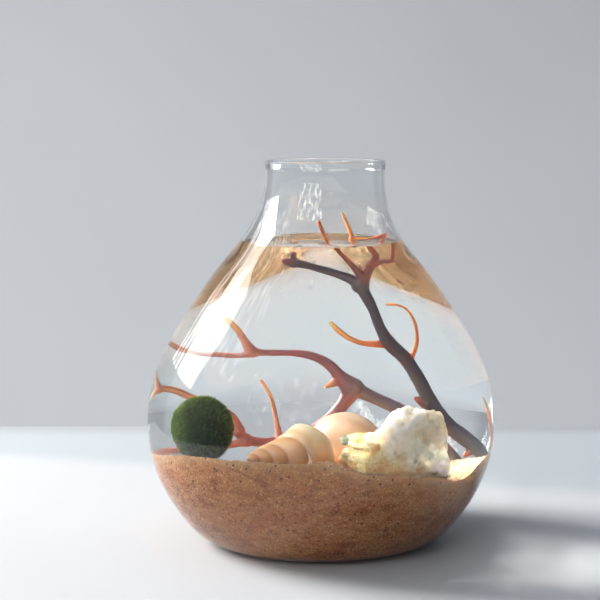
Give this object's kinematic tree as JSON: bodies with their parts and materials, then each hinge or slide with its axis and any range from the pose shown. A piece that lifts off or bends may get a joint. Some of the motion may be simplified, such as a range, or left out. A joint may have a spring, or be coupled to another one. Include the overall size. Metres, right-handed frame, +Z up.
{
  "type": "moss ball in a glass vase",
  "caption": "Green moss ball in a water-filled teardrop glass vase with a short open neck, with a bed of sand, sea shells and upright branches of sea fan.",
  "frame": {"origin": "centre of the vase's bounding box at its base", "axes": "+Z up, +X to the right and +Y away from the viewer in the picture's view"},
  "size_m": [0.137, 0.137, 0.15],
  "materials": {
    "clear_glass": "smooth clear blown glass",
    "tan_sand": "wet pinkish-tan sand with dark specks",
    "water": "clear still water",
    "green_algae": "dense dark green algae threads",
    "cream_shell": "smooth cream to orange shell",
    "peach_shell": "smooth peach shell",
    "crusted_shell": "rough cream and yellow crust",
    "dark_sea_fan": "near-black horny stem with amber twigs",
    "red_sea_fan": "red-brown horny branches with amber tips"
  },
  "bodies": {
    "root": {"glass_vase": "clear_glass", "sand_bed": "tan_sand", "water": "water", "marimo_ball": "green_algae", "spiral_shell": "cream_shell", "round_shell": "peach_shell", "rough_shell": "crusted_shell", "front_fan_stem": "dark_sea_fan", "front_fan_left_twig": "dark_sea_fan", "front_fan_right_twig": "dark_sea_fan", "front_fan_left_arm": "dark_sea_fan", "front_fan_crown": "dark_sea_fan", "front_fan_top_twig": "dark_sea_fan", "rear_fan_stem": "red_sea_fan", "rear_fan_upper_arm": "red_sea_fan", "rear_fan_tip_twig": "red_sea_fan", "rear_fan_side_arm": "red_sea_fan", "rear_fan_lower_arm": "red_sea_fan", "rear_fan_thin_twig": "red_sea_fan", "rear_fan_left_arm": "red_sea_fan", "rear_fan_low_twig": "red_sea_fan", "edge_twig": "red_sea_fan"}
  },
  "joints": []
}
